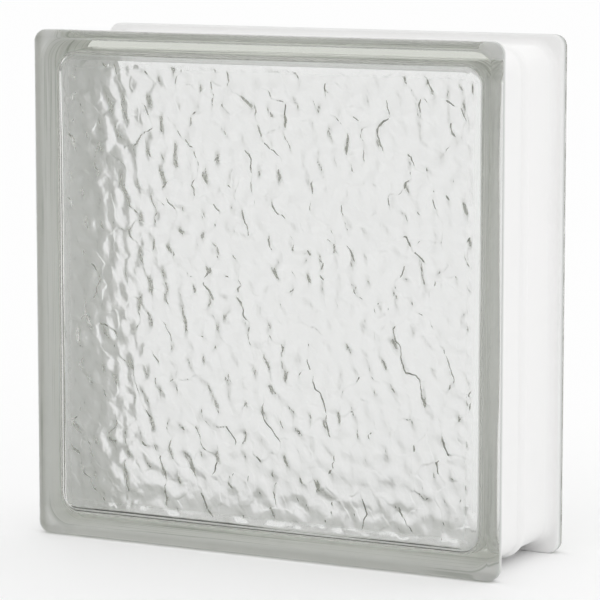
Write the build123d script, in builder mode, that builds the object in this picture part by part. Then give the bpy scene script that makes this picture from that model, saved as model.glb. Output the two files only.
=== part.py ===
from build123d import *
import os

os.makedirs("parts", exist_ok=True)

# Driving dimensions in millimetres, with the front face towards -Y
face_width = 298.5
face_height = 298.5
block_depth = 98.4
corner_radius = 7.0
face_edge_radius = 4.4

# Flange round each face and the mortar channel between the two flanges
flange_depth = 10.4
flange_back_radius = 1.2
channel_inset = 6.0
channel_corner_radius = 13.0
channel_foot_radius = 4.5

# Rounded bead where the two half shells are fused
bead_width = 10.5
bead_height = 2.0
bead_root = 1.0

# Sealed cavity, widest at the seam and narrowing towards each face
face_thickness = 10.8
seam_wall = 4.8
wall_draft = 2.5
cavity_corner_radius = 14.0
cavity_edge_radius = 5.0

# Sizes that follow from the driving ones
core_width = face_width - 2 * channel_inset
core_height = face_height - 2 * channel_inset
cavity_width = core_width - 2 * seam_wall
cavity_height = core_height - 2 * seam_wall
cavity_half_depth = block_depth / 2 - face_thickness
bead_path_x = core_width / 2
bead_path_z = core_height / 2

# Upright planes: one at the seam and one at the back of the front flange, both facing -Y
seam_plane = Plane(origin=(0, 0, face_height / 2), x_dir=(1, 0, 0), z_dir=(0, -1, 0))
flange_plane = seam_plane.offset(block_depth / 2 - flange_depth)

# The air space of one half shell: drafted walls, rounded where they meet the face
with BuildPart() as half_cavity:
    with BuildSketch(seam_plane):
        RectangleRounded(cavity_width, cavity_height, cavity_corner_radius)
    extrude(amount=cavity_half_depth, taper=wall_draft)
    fillet(half_cavity.faces().sort_by(Axis.Y)[0].edges(), cavity_edge_radius)

# The outside of one half shell: the flange round the face, then the recessed edge behind it
with BuildPart() as half_block:
    with BuildSketch(seam_plane):
        RectangleRounded(core_width, core_height, channel_corner_radius)
    extrude(amount=block_depth / 2)
    with BuildSketch(flange_plane):
        RectangleRounded(face_width, face_height, corner_radius)
    extrude(amount=flange_depth)
    flange_back = half_block.faces().filter_by(Axis.Y).sort_by(Axis.Y)[1]
    fillet(flange_back.inner_wires().edges(), channel_foot_radius)
    flange_back = half_block.faces().filter_by(Axis.Y).sort_by(Axis.Y)[1]
    fillet(flange_back.outer_wire().edges(), flange_back_radius)
    fillet(half_block.faces().sort_by(Axis.Y)[0].edges(), face_edge_radius)
    add(half_cavity.part, mode=Mode.SUBTRACT)

# The fused seam: a low arc carried round the recessed edge
with BuildPart() as seam_bead:
    with BuildLine(seam_plane) as bead_path:
        FilletPolyline(
            (-bead_path_x, -bead_path_z),
            (bead_path_x, -bead_path_z),
            (bead_path_x, bead_path_z),
            (-bead_path_x, bead_path_z),
            radius=channel_corner_radius,
            close=True,
        )
    with BuildSketch(Plane(origin=(0, 0, channel_inset), x_dir=(0, 1, 0), z_dir=(1, 0, 0))):
        with BuildLine():
            ThreePointArc((-bead_width / 2, 0), (0, -bead_height), (bead_width / 2, 0))
            Polyline(
                (bead_width / 2, 0),
                (bead_width / 2, bead_root),
                (-bead_width / 2, bead_root),
                (-bead_width / 2, 0),
            )
        make_face()
    sweep(path=bead_path.wire())

# The block: one half shell, its mirror image and the bead that joins them
with BuildPart() as glass_block:
    add(half_block.part)
    mirror(about=Plane.XZ)
    add(seam_bead.part)
glass_block.part.label = "glass_block"
export_step(glass_block.part, "parts/glass_block.step")
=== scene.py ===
import bpy
import numpy as np
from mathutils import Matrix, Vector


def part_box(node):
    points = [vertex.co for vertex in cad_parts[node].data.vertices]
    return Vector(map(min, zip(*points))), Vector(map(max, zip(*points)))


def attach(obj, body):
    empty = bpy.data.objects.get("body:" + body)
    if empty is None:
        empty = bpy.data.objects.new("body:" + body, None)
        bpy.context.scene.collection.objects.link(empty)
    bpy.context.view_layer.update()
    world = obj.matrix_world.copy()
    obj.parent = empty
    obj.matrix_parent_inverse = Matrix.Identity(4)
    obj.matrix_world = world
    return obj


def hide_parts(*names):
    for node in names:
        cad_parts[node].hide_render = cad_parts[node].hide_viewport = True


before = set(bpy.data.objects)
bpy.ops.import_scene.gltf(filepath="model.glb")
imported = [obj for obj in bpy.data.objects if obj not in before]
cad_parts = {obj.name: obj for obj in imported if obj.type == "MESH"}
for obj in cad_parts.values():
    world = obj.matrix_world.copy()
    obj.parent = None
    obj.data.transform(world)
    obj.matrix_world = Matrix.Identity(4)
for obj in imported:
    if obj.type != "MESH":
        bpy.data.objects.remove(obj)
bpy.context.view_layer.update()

# The glass block
# One hollow body of pressed soda-lime glass: two half shells, each with a flat face, a flange
# and a recessed edge, fused at a bead half-way through. The plunger that pressed each half left
# a crinkled ice pattern inside its face. The recessed edges are sprayed white for the mortar.

# Sizes in millimetres. The outside comes from the frame and the rest is as on the solid, apart
# from the slight crease where each face edge starts.
millimetre = 0.001
low_corner, high_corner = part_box("glass_block")
block_size = (high_corner[2] - low_corner[2]) / millimetre
block_depth = (high_corner[1] - low_corner[1]) / millimetre
corner_radius = 7.0
face_edge_width = 4.4
face_edge_start = np.radians(15)
flange_depth = 10.4
flange_back_radius = 1.2
channel_inset = 6.0
channel_corner_radius = 13.0
channel_foot_radius = 4.5
bead_width = 10.5
bead_height = 2.0
face_thickness = 10.8
seam_wall = 4.8
wall_draft = np.radians(2.5)
cavity_corner_radius = 14.0
cavity_edge_radius = 5.0

# The ice pattern leans, so that its folds run down to the right
pattern_lean = 0.15

# The coating starts short of each face, and over the next few millimetres inwards it is painted greyer
# towards the face: painted shade where the face edge rounds off
coating_margin = 6.4
edge_shade_reach = 11.0

outer_half = block_size / 2
face_edge_radius = face_edge_width / (1 - np.sin(face_edge_start))
face_edge_depth = face_edge_radius * np.cos(face_edge_start)
seam_half = outer_half - channel_inset - seam_wall
cavity_depth = block_depth / 2 - face_thickness


def outer_profile():
    """Inset from the outline, depth from the front face and corner radius along one section.

    The section starts on the flat face, breaks at a slight crease into the arc of the face
    edge, runs along the flange, round its back, down a hollow quarter circle into the channel
    and along it to the crest of the bead, a shallow arc. The other half is its mirror image.
    """
    flat_lip = 0.15
    short_lip = 0.5
    edge_points = 10
    back_points = 5
    foot_points = 8
    bead_points = 9
    edge_turn = np.linspace(face_edge_start, np.pi / 2, edge_points)
    back_turn = np.linspace(0, np.pi / 2, back_points)
    foot_turn = np.linspace(0, np.pi / 2, foot_points)
    bead_run = np.linspace(-bead_width / 2, 0, bead_points)
    flange_run = [
        coating_margin,
        flange_depth - flange_back_radius - short_lip,
    ]
    channel_run = [
        flange_depth + channel_foot_radius + short_lip,
        (block_depth - bead_width) / 2 - short_lip,
    ]
    bead_radius = (bead_width ** 2 / 4 + bead_height ** 2) / (2 * bead_height)
    bead_rise = np.sqrt(bead_radius ** 2 - bead_run ** 2) - (bead_radius - bead_height)
    inset = np.concatenate([
        [face_edge_width + flat_lip],
        face_edge_radius * (1 - np.sin(edge_turn)),
        np.zeros(len(flange_run)),
        flange_back_radius * (1 - np.cos(back_turn)),
        channel_inset - channel_foot_radius * (1 - np.sin(foot_turn)),
        np.full(len(channel_run), channel_inset),
        channel_inset - bead_rise,
    ])
    depth = np.concatenate([
        [0.0],
        face_edge_depth - face_edge_radius * np.cos(edge_turn),
        flange_run,
        flange_depth - flange_back_radius * (1 - np.sin(back_turn)),
        flange_depth + channel_foot_radius * (1 - np.cos(foot_turn)),
        channel_run,
        block_depth / 2 + bead_run,
    ])
    first_coated = 1 + len(edge_turn) + flange_run.index(coating_margin)
    first_in_channel = 1 + len(edge_turn) + len(flange_run) + len(back_turn)
    in_channel = np.arange(len(inset)) >= first_in_channel
    channel_radius = channel_corner_radius + channel_inset - inset
    radius = np.where(in_channel, channel_radius, corner_radius - inset)
    inset = np.concatenate([inset, inset[-2::-1]])
    depth = np.concatenate([depth, block_depth - depth[-2::-1]])
    radius = np.concatenate([radius, radius[-2::-1]])
    return inset, depth, radius, first_coated


def corner_rings(half, radius):
    """Rounded squares as rings of points, anticlockwise seen from the front.

    Each ring is four quarter circles about its corner centres, joined by straight sides whose
    points crowd towards their ends along half a cosine wave.
    """
    bend_points = 11
    side_points = 13
    bend = np.linspace(0, np.pi / 2, bend_points)
    ease = 0.5 - 0.5 * np.cos(np.pi * np.linspace(0, 1, side_points)[1:-1])
    quarter = np.arange(4)[:, None] * np.pi / 2
    angle = quarter - np.pi / 2 + bend
    diagonal = quarter - np.pi / 4
    centre = np.sign(np.stack([np.cos(diagonal), np.sin(diagonal)], axis=-1))
    circle = np.stack([np.cos(angle), np.sin(angle)], axis=-1)
    half = half[:, None, None, None]
    radius = radius[:, None, None, None]
    arcs = centre * (half - radius) + circle * radius
    start = arcs[:, :, -1:]
    end = np.roll(arcs, -1, axis=1)[:, :, :1]
    sides = start + (end - start) * ease[:, None]
    return np.concatenate([arcs, sides], axis=2).reshape(len(arcs), -1, 2)


def face_edge(run, half, radius):
    """One side of a rounded square, from mid-corner to mid-corner, as run goes from -1 to 1.

    Returns the distance along the side and how far the rounding draws it in: a straight middle,
    then an eighth of a circle at each end.
    """
    bend_from = 0.93
    turn = np.clip((np.abs(run) - bend_from) / (1 - bend_from), 0, 1) * np.pi / 4
    along = np.clip(np.abs(run) / bend_from, 0, 1) * (half - radius) + radius * np.sin(turn)
    return np.sign(run) * along, radius * (1 - np.cos(turn))


def cavity_ring(steps, half, radius):
    """Points round the cavity at one depth, anticlockwise from mid-corner, low on the left."""
    run = np.linspace(-1, 1, steps + 1)[:-1]
    along, draw = face_edge(run, half, radius)
    far = half - draw
    return np.concatenate([
        np.stack([along, -far], axis=-1),
        np.stack([far, along], axis=-1),
        np.stack([-along, far], axis=-1),
        np.stack([-far, -along], axis=-1),
    ])


def cavity_face(steps, half, radius):
    """A square grid stretched to a rounded square: each line bends as its nearest side does."""
    run = np.linspace(-1, 1, steps + 1)
    along, draw = face_edge(run, half, radius)
    corner = along[-1]
    x = along[None, :] + run[None, :] * (half - draw[:, None] - corner)
    z = along[:, None] + run[:, None] * (half - draw[None, :] - corner)
    return x, z


def swell(x, z, wavelength, draws):
    """Smooth random waves with a root mean square height of one, taller than wide.

    A sum of cosines near one wavelength, one in each of many sectors of heading, with the
    upright coordinate squeezed.
    """
    waves = 48
    upright_squeeze = 0.8
    shortest_share = 0.75
    longest_share = 1.35
    heading = (np.arange(waves) + draws.uniform(0, 1, waves)) * 2 * np.pi / waves
    number = 2 * np.pi / (wavelength * draws.uniform(shortest_share, longest_share, waves))
    phase = draws.uniform(0, 2 * np.pi, waves)
    across = x[..., None] * (number * np.cos(heading))
    upward = upright_squeeze * z[..., None] * (number * np.sin(heading))
    return np.cos(across + upward + phase).sum(axis=-1) * (2 / waves) ** 0.5


def plates(x, z, width, height, step, tilt, blur, draws):
    """Broken plates: every point takes the height of the tilted plane of its nearest seed.

    Seeds sit on a shaken grid. Planes are averaged with weights that fall off as an exponential
    of distance, so one plate turns into the next over about the blur length.
    """
    reach = 2
    seed_margin = 0.05
    columns = int(block_size / width) + 2 * reach + 2
    rows = int(block_size / height) + 2 * reach + 2
    shake = draws.uniform(seed_margin, 1 - seed_margin, (rows, columns, 2))
    level = draws.normal(0, step, (rows, columns))
    slope = draws.normal(0, tilt, (rows, columns, 2))
    home_column = np.floor((x + outer_half) / width).astype(int) + reach
    home_row = np.floor((z + outer_half) / height).astype(int) + reach
    total = np.zeros_like(x)
    weight = np.zeros_like(x)
    for row_step in range(-reach, reach + 1):
        for column_step in range(-reach, reach + 1):
            column = np.clip(home_column + column_step, 0, columns - 1)
            row = np.clip(home_row + row_step, 0, rows - 1)
            gap_x = x + outer_half - (column - reach + shake[row, column, 0]) * width
            gap_z = z + outer_half - (row - reach + shake[row, column, 1]) * height
            plane = level[row, column] + slope[row, column, 0] * gap_x + slope[row, column, 1] * gap_z
            share = np.exp(-np.hypot(gap_x, gap_z * width / height) / blur)
            total += share * plane
            weight += share
    return total / weight


def ice_relief(x, z, half, seed):
    """Height of the ice pattern: broken plates with wandering borders on a smooth swell.

    The pattern is sheared sideways, so it leans. It fades to a plain flat, along a smooth step,
    just before the cavity's rounded edge.
    """
    wander = 2.2
    wander_length = 17
    swell_height = 0.38
    swell_length = 11
    highest = 1.8
    fade_width = 5.0
    draws = np.random.default_rng(seed)
    slanted = x + pattern_lean * z
    wander_x = wander * swell(slanted, z, wander_length, draws)
    wander_z = wander * swell(slanted, z, wander_length, draws)
    broken = plates(
        slanted + wander_x, z + wander_z,
        width=9.0, height=14.0, step=0.10, tilt=0.06, blur=0.7, draws=draws,
    )
    height = broken + swell_height * swell(slanted, z, swell_length, draws)
    rim_gap = half - np.maximum(np.abs(x), np.abs(z))
    fade = np.clip(rim_gap / fade_width, 0, 1)
    return np.clip(height, -highest, highest) * fade * fade * (3 - 2 * fade)


# Outside of the glass
inset, depth, radius, first_coated = outer_profile()
rings = corner_rings(outer_half - inset, radius)
ring_count, ring_size = rings.shape[:2]
outside = np.stack([
    rings[..., 0],
    np.broadcast_to(depth[:, None] - block_depth / 2, rings.shape[:2]),
    rings[..., 1] + outer_half,
], axis=-1).reshape(-1, 3)
station = np.arange(ring_count - 1)[:, None] * ring_size
point = np.arange(ring_size)[None, :]
after = (point + 1) % ring_size
outside_faces = np.stack([
    station + point,
    station + ring_size + point,
    station + ring_size + after,
    station + after,
], axis=-1).reshape(-1, 4)
front_cap = list(range(ring_size))
rear_cap = list(range(ring_count * ring_size - 1, (ring_count - 1) * ring_size - 1, -1))
band = np.repeat(np.arange(ring_count - 1), ring_size)
coated = (band >= first_coated) & (band < ring_count - 1 - first_coated)

# Inside of the glass: two ice faces and the drafted wall between them
cells = 200
round_points = 7
front_seed = 11
rear_seed = 29
edge_centre = seam_half - np.tan(wall_draft) * (cavity_depth - cavity_edge_radius)
edge_centre -= cavity_edge_radius / np.cos(wall_draft)
edge_turn = np.linspace(np.pi / 2, wall_draft, round_points)[1:]
wall_half = edge_centre + cavity_edge_radius * np.cos(edge_turn)
wall_place = cavity_depth - cavity_edge_radius * (1 - np.sin(edge_turn))
wall_half = np.concatenate([wall_half, [seam_half], wall_half[::-1]])
wall_place = np.concatenate([-wall_place, [0.0], wall_place[::-1]])
wall_radius = cavity_corner_radius - (seam_half - wall_half)
ice_radius = cavity_corner_radius - (seam_half - edge_centre)
x, z = cavity_face(cells, edge_centre, ice_radius)
front_relief = ice_relief(x, z, edge_centre, front_seed)
rear_relief = ice_relief(x, z, edge_centre, rear_seed)
front_ice = np.stack([x, front_relief - cavity_depth, z + outer_half], axis=-1)
rear_ice = np.stack([x, cavity_depth - rear_relief, z + outer_half], axis=-1)
wall = []
for half, corner, place in zip(wall_half, wall_radius, wall_place):
    ring = cavity_ring(cells, half, corner)
    wall.append(np.stack([ring[:, 0], np.full(len(ring), place), ring[:, 1] + outer_half], axis=-1))
wall = np.concatenate(wall)

front_start = len(outside)
rear_start = front_start + x.size
wall_start = rear_start + x.size
index = np.arange(x.size).reshape(x.shape)
rim = np.concatenate([index[0, :-1], index[:-1, -1], index[-1, :0:-1], index[:0:-1, 0]])
quads = np.stack([index[:-1, :-1], index[1:, :-1], index[1:, 1:], index[:-1, 1:]], axis=-1).reshape(-1, 4)
front_faces = front_start + quads
rear_faces = rear_start + quads[:, ::-1]
wall_rings = wall_start + np.arange(len(wall)).reshape(len(wall_half), -1)
wall_rings = np.concatenate([[front_start + rim], wall_rings, [rear_start + rim]])
following = np.roll(wall_rings, -1, axis=1)
wall_faces = np.stack([
    wall_rings[:-1],
    following[:-1],
    following[1:],
    wall_rings[1:],
], axis=-1).reshape(-1, 4)

vertices = np.concatenate([outside, front_ice.reshape(-1, 3), rear_ice.reshape(-1, 3), wall]) * millimetre
all_quads = np.concatenate([outside_faces, front_faces, rear_faces, wall_faces])
mesh = bpy.data.meshes.new("pressed_glass_block")
mesh.from_pydata(vertices.tolist(), [], all_quads.tolist() + [front_cap, rear_cap])
finish_index = np.zeros(len(mesh.polygons), dtype=np.int32)
finish_index[: len(coated)] = coated
mesh.polygons.foreach_set("material_index", finish_index)
mesh.polygons.foreach_set("use_smooth", np.ones(len(mesh.polygons), dtype=bool))

# Values on the points: where the ice pattern lies, where the cavity's side walls are, and how
# far round the outer section each point of the outside is
crease_fade = 4.0
rim_gap = edge_centre - np.maximum(np.abs(x), np.abs(z))
ice_mask = np.zeros(len(vertices), dtype=np.float32)
ice_mask[front_start:wall_start] = np.tile(np.clip(rim_gap / crease_fade, 0, 1).ravel(), 2)
wall_mask = np.zeros(len(vertices), dtype=np.float32)
wall_mask[wall_start:] = 1.0
section_step = np.hypot(np.diff(inset), np.diff(depth))
section_place = np.zeros(len(vertices), dtype=np.float32)
section_place[:front_start] = np.repeat(np.concatenate([[0.0], np.cumsum(section_step)]), ring_size)
for name, values in (("ice", ice_mask), ("side_wall", wall_mask), ("section", section_place)):
    mesh.attributes.new(name, "FLOAT", "POINT").data.foreach_set("value", values)
mesh.update()
glass_block = bpy.data.objects.new("pressed_glass_block", mesh)
bpy.context.collection.objects.link(glass_block)


def add_node(tree, kind, sources=None, values=None, **options):
    """Add a shader node with its options, its input values and the sockets that feed it."""
    node = tree.nodes.new(kind)
    for option, choice in options.items():
        setattr(node, option, choice)
    for socket, value in (values or {}).items():
        node.inputs[socket].default_value = value
    for socket, source in (sources or {}).items():
        tree.links.new(source, node.inputs[socket])
    return node


# Clear glass, a little grey-green through its thickness and faintly dull on the ice
glass_colour = (0.9485, 0.9497, 0.953, 1.0)
glass_tint = (0.66, 0.68, 0.60, 1.0)
tint_density = 10.0
glass_ior = 1.52
ice_roughness = 0.28
clear_glass = bpy.data.materials.new("clear_pressed_glass")
clear_glass.use_nodes = True
tree = clear_glass.node_tree
surface = tree.nodes["Principled BSDF"]
surface.inputs["Base Color"].default_value = glass_colour
surface.inputs["IOR"].default_value = glass_ior
surface.inputs["Transmission Weight"].default_value = 1.0
on_ice = add_node(tree, "ShaderNodeAttribute", attribute_name="ice")
dulled = add_node(
    tree, "ShaderNodeMath",
    {0: on_ice.outputs["Fac"]}, {1: ice_roughness},
    operation="MULTIPLY",
)
tree.links.new(dulled.outputs["Value"], surface.inputs["Roughness"])
tint = add_node(
    tree, "ShaderNodeVolumeAbsorption",
    values={"Color": glass_tint, "Density": tint_density},
)
tree.links.new(tint.outputs["Volume"], tree.nodes["Material Output"].inputs["Volume"])

# Fine creases on the ice: the borders of small plates, with soft folds between them.
# Heights are in millimetres, and the two panes lie far apart on the pattern's sheet.
pane_spread = 2.0
wander_reach = 0.017
wander_scale = 42.0
plate_across = 0.0088
plate_up = 0.0130
plate_softness = 0.32
plate_height = 0.70
fold_scale = 125.0
fold_stretch = (1.0, 0.8, 1.0)
fold_height = 0.85
where = add_node(tree, "ShaderNodeTexCoord")
position = add_node(tree, "ShaderNodeSeparateXYZ", {"Vector": where.outputs["Object"]})
pane = add_node(tree, "ShaderNodeMath", {0: position.outputs["Y"]}, operation="SIGN")
apart = add_node(
    tree, "ShaderNodeMath",
    {0: pane.outputs["Value"], 2: position.outputs["X"]}, {1: pane_spread},
    operation="MULTIPLY_ADD",
)
lean = add_node(
    tree, "ShaderNodeMath",
    {0: position.outputs["Z"], 2: apart.outputs["Value"]}, {1: pattern_lean},
    operation="MULTIPLY_ADD",
)
sheet = add_node(
    tree, "ShaderNodeCombineXYZ",
    {"X": lean.outputs["Value"], "Y": position.outputs["Z"]},
)
wander = add_node(
    tree, "ShaderNodeTexNoise",
    {"Vector": sheet.outputs["Vector"]}, {"Scale": wander_scale, "Detail": 3.0},
    noise_dimensions="2D",
)
wandering = add_node(
    tree, "ShaderNodeVectorMath",
    {0: wander.outputs["Color"], 2: sheet.outputs["Vector"]}, {1: (wander_reach, wander_reach, 0.0)},
    operation="MULTIPLY_ADD",
)
fold_sheet = add_node(
    tree, "ShaderNodeVectorMath",
    {0: sheet.outputs["Vector"]}, {1: fold_stretch},
    operation="MULTIPLY",
)
folds = add_node(
    tree, "ShaderNodeTexNoise",
    {"Vector": fold_sheet.outputs["Vector"]}, {"Scale": fold_scale, "Detail": 2.0},
    noise_dimensions="2D",
)
fold_rise = add_node(
    tree, "ShaderNodeMath",
    {0: folds.outputs["Fac"]}, {1: fold_height},
    operation="MULTIPLY",
)
plate_sheet = add_node(
    tree, "ShaderNodeVectorMath",
    {0: wandering.outputs["Vector"]}, {1: (1 / plate_across, 1 / plate_up, 1.0)},
    operation="MULTIPLY",
)
plate = add_node(
    tree, "ShaderNodeTexVoronoi",
    {"Vector": plate_sheet.outputs["Vector"]}, {"Scale": 1.0, "Smoothness": plate_softness},
    voronoi_dimensions="2D", feature="SMOOTH_F1",
)
level = add_node(tree, "ShaderNodeSeparateColor", {"Color": plate.outputs["Color"]})
crease_rise = add_node(
    tree, "ShaderNodeMath",
    {0: level.outputs["Red"], 2: fold_rise.outputs["Value"]}, {1: plate_height},
    operation="MULTIPLY_ADD",
)
creases = add_node(
    tree, "ShaderNodeMath",
    {0: crease_rise.outputs["Value"], 1: on_ice.outputs["Fac"]},
    operation="MULTIPLY",
)

# Long shallow ripples along the cavity's side walls
ripple_scale = (8.0, 150.0, 8.0)
ripple_height = 0.90
ripple_sheet = add_node(
    tree, "ShaderNodeVectorMath",
    {0: where.outputs["Object"]}, {1: ripple_scale},
    operation="MULTIPLY",
)
ripple = add_node(
    tree, "ShaderNodeTexNoise",
    {"Vector": ripple_sheet.outputs["Vector"]}, {"Scale": 1.0, "Detail": 1.0},
)
ripple_rise = add_node(
    tree, "ShaderNodeMath",
    {0: ripple.outputs["Fac"]}, {1: ripple_height},
    operation="MULTIPLY",
)
on_wall = add_node(tree, "ShaderNodeAttribute", attribute_name="side_wall")
inner_height = add_node(
    tree, "ShaderNodeMath",
    {0: ripple_rise.outputs["Value"], 1: on_wall.outputs["Fac"], 2: creases.outputs["Value"]},
    operation="MULTIPLY_ADD",
)
inner_bump = add_node(
    tree, "ShaderNodeBump",
    {"Height": inner_height.outputs["Value"]}, {"Strength": 1.0, "Distance": millimetre},
)
tree.links.new(inner_bump.outputs["Normal"], surface.inputs["Normal"])

# White sprayed edge coating, a little uneven all over, and painted greyer towards its margins by the faces:
# painted shade near the rounded face edges
full_white = (0.918, 0.915, 0.91, 1.0)
# Grey of the painted shade at the coating's margins
edge_shade_grey = (0.55, 0.565, 0.55, 1.0)
uneven_scale = 45.0
uneven_share = 0.10
grain_scale = 500.0
grain_height = 0.03
least_rough = 0.5
most_rough = 0.75
edge_coating = bpy.data.materials.new("white_edge_coating")
edge_coating.use_nodes = True
tree = edge_coating.node_tree
coat = tree.nodes["Principled BSDF"]
where = add_node(tree, "ShaderNodeTexCoord")
position = add_node(tree, "ShaderNodeSeparateXYZ", {"Vector": where.outputs["Object"]})
off_seam = add_node(tree, "ShaderNodeMath", {0: position.outputs["Y"]}, operation="ABSOLUTE")
# Painted shade: greyer towards the face edges
edge_shade_amount = add_node(
    tree, "ShaderNodeMapRange",
    {"Value": off_seam.outputs["Value"]},
    {"From Min": (block_depth / 2 - edge_shade_reach) * millimetre,
     "From Max": (block_depth / 2 - coating_margin) * millimetre},
    interpolation_type="SMOOTHSTEP",
)
uneven = add_node(
    tree, "ShaderNodeTexNoise",
    {"Vector": where.outputs["Object"]}, {"Scale": uneven_scale, "Detail": 3.0},
)
# Random unevenness plus the painted edge shade
wear_and_edge_shade = add_node(
    tree, "ShaderNodeMath",
    {0: uneven.outputs["Fac"], 2: edge_shade_amount.outputs["Result"]}, {1: uneven_share},
    operation="MULTIPLY_ADD",
)
film = add_node(tree, "ShaderNodeValToRGB", {"Fac": wear_and_edge_shade.outputs["Value"]})
film.color_ramp.elements[0].position = uneven_share / 2
film.color_ramp.elements[0].color = full_white
film.color_ramp.elements[1].color = edge_shade_grey

# From inside the glass the coating is a separate copy of the white, lighter than the outside, with dark
# streaks along the edges: painted light and painted shade for the rims seen through the glass
streak_width = 2.5
streak_run = (9.0, 0.0, 9.0)
streak_from = 0.30
streak_to = 0.46
inside_painted_light = (0.985, 0.985, 0.98, 1.0)
inside_painted_shade = (0.66, 0.68, 0.65, 1.0)
section = add_node(tree, "ShaderNodeAttribute", attribute_name="section")
across = add_node(
    tree, "ShaderNodeMath",
    {0: section.outputs["Fac"]}, {1: streak_width},
    operation="DIVIDE",
)
across_place = add_node(tree, "ShaderNodeCombineXYZ", {"Y": across.outputs["Value"]})
streak_place = add_node(
    tree, "ShaderNodeVectorMath",
    {0: where.outputs["Object"], 2: across_place.outputs["Vector"]}, {1: streak_run},
    operation="MULTIPLY_ADD",
)
streaks = add_node(
    tree, "ShaderNodeTexNoise",
    {"Vector": streak_place.outputs["Vector"]}, {"Scale": 1.0, "Detail": 2.0},
)
inside = add_node(tree, "ShaderNodeValToRGB", {"Fac": streaks.outputs["Fac"]})
inside.color_ramp.elements[0].position = streak_from
inside.color_ramp.elements[0].color = inside_painted_shade
inside.color_ramp.elements[1].position = streak_to
inside.color_ramp.elements[1].color = inside_painted_light
side = add_node(tree, "ShaderNodeNewGeometry")
# The side seen from inside the glass takes the painted light and shade copy, the outside takes the film
coat_colour = add_node(
    tree, "ShaderNodeMixRGB",
    {"Fac": side.outputs["Backfacing"], "Color1": film.outputs["Color"], "Color2": inside.outputs["Color"]},
)
tree.links.new(coat_colour.outputs["Color"], coat.inputs["Base Color"])
dullness = add_node(
    tree, "ShaderNodeMapRange",
    {"Value": uneven.outputs["Fac"]}, {"To Min": least_rough, "To Max": most_rough},
)
tree.links.new(dullness.outputs["Result"], coat.inputs["Roughness"])
grain = add_node(
    tree, "ShaderNodeTexNoise",
    {"Vector": where.outputs["Object"]}, {"Scale": grain_scale, "Detail": 2.0},
)
grain_rise = add_node(
    tree, "ShaderNodeMath",
    {0: grain.outputs["Fac"]}, {1: grain_height},
    operation="MULTIPLY",
)
coat_bump = add_node(
    tree, "ShaderNodeBump",
    {"Height": grain_rise.outputs["Value"]}, {"Strength": 1.0, "Distance": millimetre},
)
tree.links.new(coat_bump.outputs["Normal"], coat.inputs["Normal"])

mesh.materials.append(clear_glass)
mesh.materials.append(edge_coating)
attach(glass_block, "root")
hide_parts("glass_block")

# The floor
# A wide pale sheet that the block stands on, with no edge in any view. It glows faintly wherever
# it is seen, straight or by way of the glass.
floor_reach = 30.0
floor_colour = (0.92, 0.92, 0.92, 1.0)
floor_lift = 0.025
floor_mesh = bpy.data.meshes.new("floor")
floor_corners = floor_reach * np.array([(-1, -1, 0), (1, -1, 0), (1, 1, 0), (-1, 1, 0)])
floor_mesh.from_pydata(floor_corners.tolist(), [], [(0, 1, 2, 3)])
floor = bpy.data.objects.new("floor", floor_mesh)
bpy.context.collection.objects.link(floor)
floor_paper = bpy.data.materials.new("floor_paper")
floor_paper.use_nodes = True
tree = floor_paper.node_tree
paper = tree.nodes["Principled BSDF"]
paper.inputs["Base Color"].default_value = floor_colour
paper.inputs["Roughness"].default_value = 0.9
paper.inputs["Specular IOR Level"].default_value = 0.0
paper.inputs["Emission Color"].default_value = (1.0, 1.0, 1.0, 1.0)
light_path = add_node(tree, "ShaderNodeLightPath")
mirrored = add_node(
    tree, "ShaderNodeMath",
    {0: light_path.outputs["Is Camera Ray"], 1: light_path.outputs["Is Glossy Ray"]},
    operation="MAXIMUM",
)
seen = add_node(
    tree, "ShaderNodeMath",
    {0: mirrored.outputs["Value"], 1: light_path.outputs["Is Transmission Ray"]},
    operation="MAXIMUM",
)
lift = add_node(
    tree, "ShaderNodeMath",
    {0: seen.outputs["Value"]}, {1: floor_lift},
    operation="MULTIPLY",
)
tree.links.new(lift.outputs["Value"], paper.inputs["Emission Strength"])
floor_mesh.materials.append(floor_paper)

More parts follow.
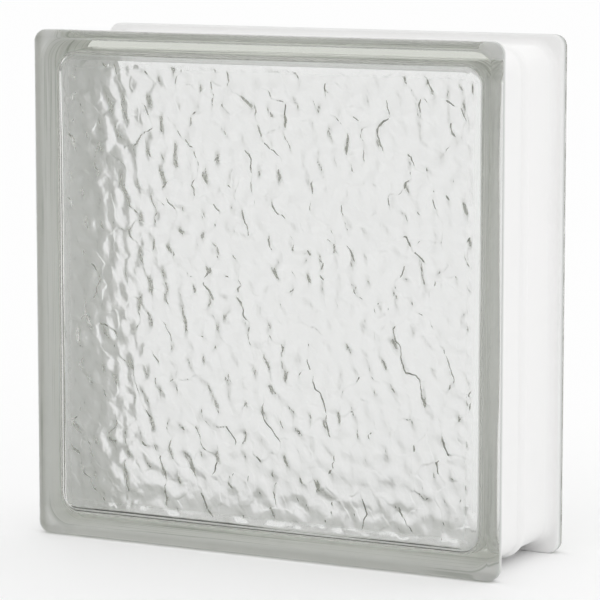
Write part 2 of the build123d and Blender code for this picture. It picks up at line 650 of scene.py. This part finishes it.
# Light
# An even white room, brighter above and dim low down in front and to the left.
room_low = 0.95
room_high = 1.12
high_from = 0.8
front_dimming = -0.55
dim_side = (-0.5, -0.866, 0.0)
dim_from = 0.10
dim_full = 0.75
dim_top = 0.65
dim_low = 0.25
world = bpy.data.worlds.new("white_room")
bpy.context.scene.world = world
world.use_nodes = True
tree = world.node_tree
heading = add_node(tree, "ShaderNodeTexCoord")
direction = add_node(tree, "ShaderNodeSeparateXYZ", {"Vector": heading.outputs["Generated"]})
facing = add_node(
    tree, "ShaderNodeVectorMath",
    {0: heading.outputs["Generated"]}, {1: dim_side},
    operation="DOT_PRODUCT",
)
toward_front = add_node(
    tree, "ShaderNodeMapRange",
    {"Value": facing.outputs["Value"]}, {"From Min": dim_from, "From Max": dim_full},
    interpolation_type="SMOOTHSTEP",
)
low_down = add_node(
    tree, "ShaderNodeMapRange",
    {"Value": direction.outputs["Z"]}, {"From Min": dim_top, "From Max": dim_low},
    interpolation_type="SMOOTHSTEP",
)
front_low = add_node(
    tree, "ShaderNodeMath",
    {0: toward_front.outputs["Result"], 1: low_down.outputs["Result"]},
    operation="MULTIPLY",
)
overhead = add_node(
    tree, "ShaderNodeMapRange",
    {"Value": direction.outputs["Z"]},
    {"From Min": 0.0, "From Max": high_from, "To Min": room_low, "To Max": room_high},
    interpolation_type="SMOOTHSTEP",
)
brightness = add_node(
    tree, "ShaderNodeMath",
    {0: front_low.outputs["Value"], 2: overhead.outputs["Result"]}, {1: front_dimming},
    operation="MULTIPLY_ADD",
)
room = tree.nodes["Background"]
room.inputs["Color"].default_value = (1.0, 1.0, 1.0, 1.0)
tree.links.new(brightness.outputs["Value"], room.inputs["Strength"])

# Camera
# A long lens to the right of the front face and a little above it.
camera_place = (0.8685, -1.6405, 0.3945)
camera_dip = 7.715
camera_turn = 27.84
camera_data = bpy.data.cameras.new("camera")
camera_data.lens = 193.65
camera_data.sensor_width = 36.0
camera = bpy.data.objects.new("camera", camera_data)
camera.location = camera_place
camera.rotation_euler = (np.radians(90 - camera_dip), 0.0, np.radians(camera_turn))
bpy.context.collection.objects.link(camera)
bpy.context.scene.camera = camera
bpy.context.scene.view_settings.view_transform = "Standard"

# Light crosses many glass surfaces on its way through, so its paths are long and kept sharp
cycles = bpy.context.scene.cycles
cycles.max_bounces = 16
cycles.transmission_bounces = 16
cycles.glossy_bounces = 12
cycles.diffuse_bounces = 6
cycles.blur_glossy = 0.0
